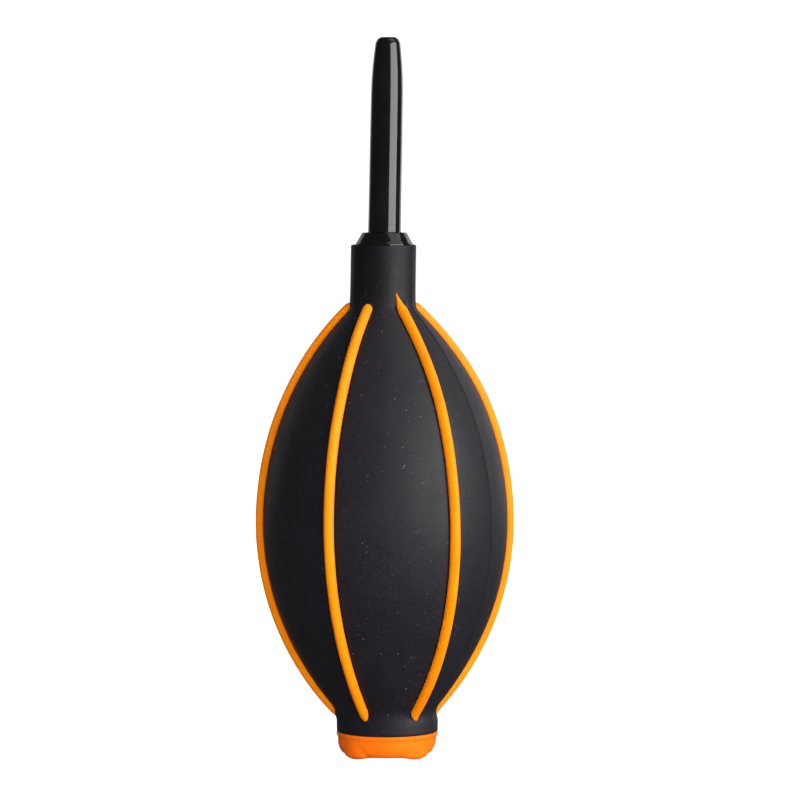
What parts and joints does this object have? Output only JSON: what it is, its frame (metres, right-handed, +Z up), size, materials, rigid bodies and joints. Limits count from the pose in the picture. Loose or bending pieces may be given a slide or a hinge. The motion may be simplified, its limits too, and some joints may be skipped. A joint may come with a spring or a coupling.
{
  "type": "dust blower bulb",
  "caption": "Hand-squeezed dust blower: a ribbed, spindle-shaped rubber bulb with a slim tapered nozzle on top and a footed base cap that holds the air inlet valve.",
  "frame": {"origin": "centre of the base, on the plane of the four feet", "axes": "+Z up along the bulb's axis towards the nozzle tip, -Y towards the front, midway between two ribs"},
  "size_m": [0.0624, 0.0596, 0.175],
  "materials": {
    "bulb_silicone": "matte moulded silicone",
    "rib_silicone": "satin moulded silicone",
    "nozzle_plastic": "polished",
    "seal_rubber": "satin",
    "cap_plastic": "satin",
    "filter_felt": "fibrous",
    "valve_plastic": "satin",
    "valve_silicone": "satin"
  },
  "bodies": {
    "bulb": {"bulb_body": "bulb_silicone", "rib_1": "rib_silicone", "rib_2": "rib_silicone", "rib_3": "rib_silicone", "rib_4": "rib_silicone", "rib_5": "rib_silicone", "rib_6": "rib_silicone", "nozzle_collar": "nozzle_plastic", "base_cap": "cap_plastic", "filter_disc": "filter_felt", "filter_ring": "valve_plastic", "inlet_valve_seat": "valve_plastic"},
    "front_wall": {"front_press_wall": "bulb_silicone"},
    "back_wall": {"back_press_wall": "bulb_silicone"},
    "nozzle": {"nozzle_tube": "nozzle_plastic", "nozzle_o_ring": "seal_rubber"},
    "inlet_valve": {"inlet_valve_flap": "valve_silicone"}
  },
  "joints": [
    {"name": "front_wall_press", "type": "slide", "parent": "bulb", "child": "front_wall", "axis": [0, 1, 0], "range_m": [0, 0.009], "stiffness_N_per_m": 2200},
    {"name": "back_wall_press", "type": "slide", "parent": "bulb", "child": "back_wall", "axis": [0, -1, 0], "range_m": [0, 0.009], "stiffness_N_per_m": 2200},
    {"name": "nozzle_pull", "type": "slide", "parent": "bulb", "child": "nozzle", "axis": [0, 0, 1], "range_m": [0, 0.008]},
    {"name": "inlet_valve_lift", "type": "slide", "parent": "bulb", "child": "inlet_valve", "axis": [0, 0, 1], "range_m": [0, 0.0008], "stiffness_N_per_m": 20}
  ],
  "couplings": [
    {"joint": "back_wall_press", "follows": "front_wall_press", "ratio": 1}
  ]
}
